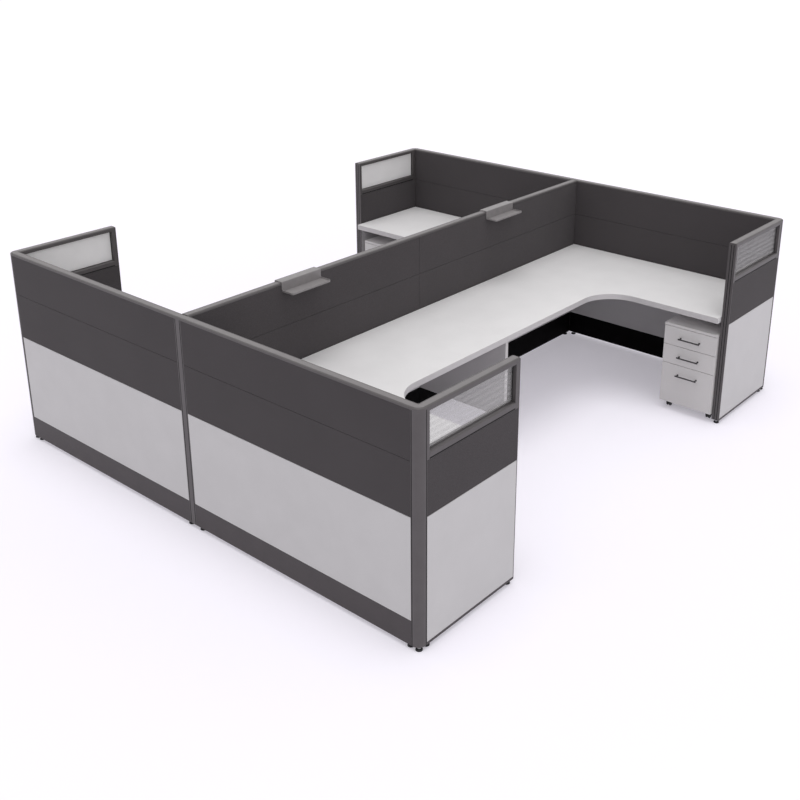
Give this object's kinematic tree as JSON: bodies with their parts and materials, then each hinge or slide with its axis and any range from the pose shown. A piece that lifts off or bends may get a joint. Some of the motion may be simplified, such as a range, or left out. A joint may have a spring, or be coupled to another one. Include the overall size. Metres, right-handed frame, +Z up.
{
  "type": "office workstation",
  "caption": "Back-to-back office workstation: spine and end walls with window returns, curved worktops on both sides, rolling drawer pedestals and clip-on trays.",
  "frame": {"origin": "on the floor under the centre of the station's outline", "axes": "+Z up; +Y along the spine wall, from the near end wall to the far one, whose side holds both pedestals; +X from the spine to the side with the trays"},
  "size_m": [3.15, 3.6, 1.2065],
  "materials": {
    "frame_steel": "galvanised, satin",
    "trim_metal": "satin grey coat",
    "cap_metal": "satin grey coat",
    "dark_fabric": "fine plain weave",
    "light_laminate": "matte laminate on board",
    "striped_glass": "etched fine stripes",
    "raceway_grey": "satin powder coat",
    "raceway_black": "matte powder coat",
    "foot_plastic": "moulded",
    "worktop_laminate": "satin laminate on board",
    "edge_plastic": "satin",
    "gable_laminate": "matte laminate on board",
    "bracket_steel": "satin powder coat",
    "tray_plastic": "moulded, satin",
    "pedestal_laminate": "matte laminate on board",
    "runner_steel": "zinc plated",
    "drawer_box_board": "matte",
    "handle_metal": "dark satin coat",
    "castor_plastic": "moulded",
    "wheel_plastic": "moulded"
  },
  "bodies": {
    "station": {"panel_frames": "frame_steel", "corner_posts": "trim_metal", "junction_posts": "trim_metal", "end_trims": "trim_metal", "perimeter_caps": "cap_metal", "spine_cap": "cap_metal", "outer_dark_tiles": "dark_fabric", "light_tiles": "light_laminate", "inner_wall_tiles": "dark_fabric", "spine_tiles": "dark_fabric", "inner_return_tiles": "dark_fabric", "window_frames": "trim_metal", "window_panes": "striped_glass", "outer_raceway_covers": "raceway_grey", "inner_raceway_covers": "raceway_black", "levelling_feet": "foot_plastic", "worktops": "worktop_laminate", "edge_bands": "edge_plastic", "support_gables": "gable_laminate", "worktop_brackets": "bracket_steel"},
    "near_tray": {"near_tray": "tray_plastic"},
    "far_tray": {"far_tray": "tray_plastic"},
    "right_pedestal": {"right_case": "pedestal_laminate", "right_runners": "runner_steel"},
    "right_top_drawer": {"right_top_drawer_box": "drawer_box_board", "right_top_drawer_front": "pedestal_laminate", "right_top_handle": "handle_metal"},
    "right_middle_drawer": {"right_middle_drawer_box": "drawer_box_board", "right_middle_drawer_front": "pedestal_laminate", "right_middle_handle": "handle_metal"},
    "right_bottom_drawer": {"right_bottom_drawer_box": "drawer_box_board", "right_bottom_drawer_front": "pedestal_laminate", "right_bottom_handle": "handle_metal"},
    "right_castor_1": {"right_fork_1": "castor_plastic"},
    "right_wheels_1": {"right_wheels_1": "wheel_plastic"},
    "right_castor_2": {"right_fork_2": "castor_plastic"},
    "right_wheels_2": {"right_wheels_2": "wheel_plastic"},
    "right_castor_3": {"right_fork_3": "castor_plastic"},
    "right_wheels_3": {"right_wheels_3": "wheel_plastic"},
    "right_castor_4": {"right_fork_4": "castor_plastic"},
    "right_wheels_4": {"right_wheels_4": "wheel_plastic"},
    "left_pedestal": {"left_case": "pedestal_laminate", "left_runners": "runner_steel"},
    "left_top_drawer": {"left_top_drawer_box": "drawer_box_board", "left_top_drawer_front": "pedestal_laminate", "left_top_handle": "handle_metal"},
    "left_middle_drawer": {"left_middle_drawer_box": "drawer_box_board", "left_middle_drawer_front": "pedestal_laminate", "left_middle_handle": "handle_metal"},
    "left_bottom_drawer": {"left_bottom_drawer_box": "drawer_box_board", "left_bottom_drawer_front": "pedestal_laminate", "left_bottom_handle": "handle_metal"},
    "left_castor_1": {"left_fork_1": "castor_plastic"},
    "left_wheels_1": {"left_wheels_1": "wheel_plastic"},
    "left_castor_2": {"left_fork_2": "castor_plastic"},
    "left_wheels_2": {"left_wheels_2": "wheel_plastic"},
    "left_castor_3": {"left_fork_3": "castor_plastic"},
    "left_wheels_3": {"left_wheels_3": "wheel_plastic"},
    "left_castor_4": {"left_fork_4": "castor_plastic"},
    "left_wheels_4": {"left_wheels_4": "wheel_plastic"}
  },
  "joints": [
    {"name": "near_tray_slide", "type": "slide", "parent": "station", "child": "near_tray", "axis": [0, 1, 0], "range_m": [-0.55, 0.8]},
    {"name": "far_tray_slide", "type": "slide", "parent": "station", "child": "far_tray", "axis": [0, 1, 0], "range_m": [-0.65, 0.75]},
    {"name": "right_pedestal_roll", "type": "slide", "parent": "station", "child": "right_pedestal", "axis": [0, -1, 0], "range_m": [0, 0.6]},
    {"name": "right_top_drawer_slide", "type": "slide", "parent": "right_pedestal", "child": "right_top_drawer", "axis": [0, -1, 0], "range_m": [0, 0.4]},
    {"name": "right_middle_drawer_slide", "type": "slide", "parent": "right_pedestal", "child": "right_middle_drawer", "axis": [0, -1, 0], "range_m": [0, 0.4]},
    {"name": "right_bottom_drawer_slide", "type": "slide", "parent": "right_pedestal", "child": "right_bottom_drawer", "axis": [0, -1, 0], "range_m": [0, 0.4]},
    {"name": "right_castor_1_swivel", "type": "hinge", "parent": "right_pedestal", "child": "right_castor_1", "pos_m": [1.201, 1.139, 0.05], "axis": [0, 0, 1], "continuous": true},
    {"name": "right_wheels_1_spin", "type": "hinge", "parent": "right_castor_1", "child": "right_wheels_1", "pos_m": [1.201, 1.151, 0.02], "axis": [1, 0, 0], "continuous": true},
    {"name": "right_castor_2_swivel", "type": "hinge", "parent": "right_pedestal", "child": "right_castor_2", "pos_m": [1.481, 1.139, 0.05], "axis": [0, 0, 1], "continuous": true},
    {"name": "right_wheels_2_spin", "type": "hinge", "parent": "right_castor_2", "child": "right_wheels_2", "pos_m": [1.481, 1.151, 0.02], "axis": [1, 0, 0], "continuous": true},
    {"name": "right_castor_3_swivel", "type": "hinge", "parent": "right_pedestal", "child": "right_castor_3", "pos_m": [1.201, 1.59, 0.05], "axis": [0, 0, 1], "continuous": true},
    {"name": "right_wheels_3_spin", "type": "hinge", "parent": "right_castor_3", "child": "right_wheels_3", "pos_m": [1.201, 1.602, 0.02], "axis": [1, 0, 0], "continuous": true},
    {"name": "right_castor_4_swivel", "type": "hinge", "parent": "right_pedestal", "child": "right_castor_4", "pos_m": [1.481, 1.59, 0.05], "axis": [0, 0, 1], "continuous": true},
    {"name": "right_wheels_4_spin", "type": "hinge", "parent": "right_castor_4", "child": "right_wheels_4", "pos_m": [1.481, 1.602, 0.02], "axis": [1, 0, 0], "continuous": true},
    {"name": "left_pedestal_roll", "type": "slide", "parent": "station", "child": "left_pedestal", "axis": [0, -1, 0], "range_m": [0, 0.6]},
    {"name": "left_top_drawer_slide", "type": "slide", "parent": "left_pedestal", "child": "left_top_drawer", "axis": [0, -1, 0], "range_m": [0, 0.4]},
    {"name": "left_middle_drawer_slide", "type": "slide", "parent": "left_pedestal", "child": "left_middle_drawer", "axis": [0, -1, 0], "range_m": [0, 0.4]},
    {"name": "left_bottom_drawer_slide", "type": "slide", "parent": "left_pedestal", "child": "left_bottom_drawer", "axis": [0, -1, 0], "range_m": [0, 0.4]},
    {"name": "left_castor_1_swivel", "type": "hinge", "parent": "left_pedestal", "child": "left_castor_1", "pos_m": [-1.427, 1.139, 0.05], "axis": [0, 0, 1], "continuous": true},
    {"name": "left_wheels_1_spin", "type": "hinge", "parent": "left_castor_1", "child": "left_wheels_1", "pos_m": [-1.427, 1.151, 0.02], "axis": [1, 0, 0], "continuous": true},
    {"name": "left_castor_2_swivel", "type": "hinge", "parent": "left_pedestal", "child": "left_castor_2", "pos_m": [-1.147, 1.139, 0.05], "axis": [0, 0, 1], "continuous": true},
    {"name": "left_wheels_2_spin", "type": "hinge", "parent": "left_castor_2", "child": "left_wheels_2", "pos_m": [-1.147, 1.151, 0.02], "axis": [1, 0, 0], "continuous": true},
    {"name": "left_castor_3_swivel", "type": "hinge", "parent": "left_pedestal", "child": "left_castor_3", "pos_m": [-1.427, 1.59, 0.05], "axis": [0, 0, 1], "continuous": true},
    {"name": "left_wheels_3_spin", "type": "hinge", "parent": "left_castor_3", "child": "left_wheels_3", "pos_m": [-1.427, 1.602, 0.02], "axis": [1, 0, 0], "continuous": true},
    {"name": "left_castor_4_swivel", "type": "hinge", "parent": "left_pedestal", "child": "left_castor_4", "pos_m": [-1.147, 1.59, 0.05], "axis": [0, 0, 1], "continuous": true},
    {"name": "left_wheels_4_spin", "type": "hinge", "parent": "left_castor_4", "child": "left_wheels_4", "pos_m": [-1.147, 1.602, 0.02], "axis": [1, 0, 0], "continuous": true}
  ]
}
